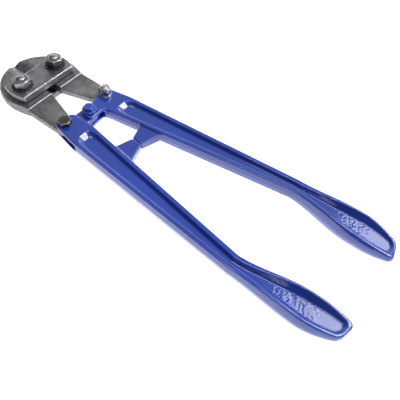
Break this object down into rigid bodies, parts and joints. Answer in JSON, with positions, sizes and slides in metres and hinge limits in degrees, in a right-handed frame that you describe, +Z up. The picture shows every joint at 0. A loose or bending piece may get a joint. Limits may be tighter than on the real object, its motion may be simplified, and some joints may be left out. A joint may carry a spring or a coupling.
{
  "type": "bolt cutters",
  "caption": "Compound-action bolt cutters: bevelled jaws between bolted strap plates, linked to two forged pocketed handles that open about a centre pivot.",
  "frame": {"origin": "under the middle of the closed tool's outline, level with the undersides of the jaw bolt heads", "axes": "+Y from the grips to the jaws, +X to the right handle, +Z up through the tool's thickness"},
  "size_m": [0.1394, 0.4656, 0.046],
  "materials": {
    "blue_paint": "glossy stoving paint over a forged surface",
    "blue_fastener": "glossy paint, worn thin on the corners",
    "forged_steel": "dark grey hardened steel with bright worn edges",
    "bolt_steel": "satin grey",
    "black_steel": "blackened spring steel",
    "dark_bolt_steel": "oiled dark steel",
    "zinc_plate": "bright zinc plating"
  },
  "bodies": {
    "left_handle": {"left_handle": "blue_paint", "left_link_bolt": "dark_bolt_steel", "left_link_nut": "dark_bolt_steel", "left_link_washer": "dark_bolt_steel"},
    "right_handle": {"right_handle": "blue_paint", "right_link_bolt": "zinc_plate", "right_link_nut": "zinc_plate", "right_link_washer": "zinc_plate", "centre_pivot_bolt": "blue_fastener", "centre_pivot_nut": "blue_fastener", "centre_top_washer": "blue_fastener", "centre_bottom_washer": "blue_fastener"},
    "left_jaw": {"left_jaw": "forged_steel"},
    "right_jaw": {"right_jaw": "forged_steel"},
    "head": {"top_strap_plate": "forged_steel", "bottom_strap_plate": "forged_steel", "left_jaw_bolt": "bolt_steel", "right_jaw_bolt": "bolt_steel", "left_jaw_nut": "bolt_steel", "right_jaw_nut": "bolt_steel", "left_lock_washer": "black_steel", "right_lock_washer": "black_steel"}
  },
  "joints": [
    {"name": "handle_pivot", "type": "hinge", "parent": "left_handle", "child": "right_handle", "pos_m": [0, 0.11134, 0.01995], "axis": [0, 0, 1], "range_deg": [0, 60]},
    {"name": "left_link", "type": "hinge", "parent": "left_handle", "child": "left_jaw", "pos_m": [-0.0307, 0.11684, 0.01995], "axis": [0, 0, 1], "range_deg": [0, 35.02]},
    {"name": "right_link", "type": "hinge", "parent": "right_handle", "child": "right_jaw", "pos_m": [0.0307, 0.11684, 0.01995], "axis": [0, 0, 1], "range_deg": [-35.02, 0]},
    {"name": "head_pivot", "type": "hinge", "parent": "left_jaw", "child": "head", "pos_m": [-0.024, 0.18784, 0.01995], "axis": [0, 0, 1], "range_deg": [-5.02, 0]}
  ],
  "couplings": [
    {"joint": "left_link", "follows": "handle_pivot", "ratio": 0.5835},
    {"joint": "right_link", "follows": "handle_pivot", "ratio": -0.5835},
    {"joint": "head_pivot", "follows": "handle_pivot", "ratio": -0.0835}
  ]
}
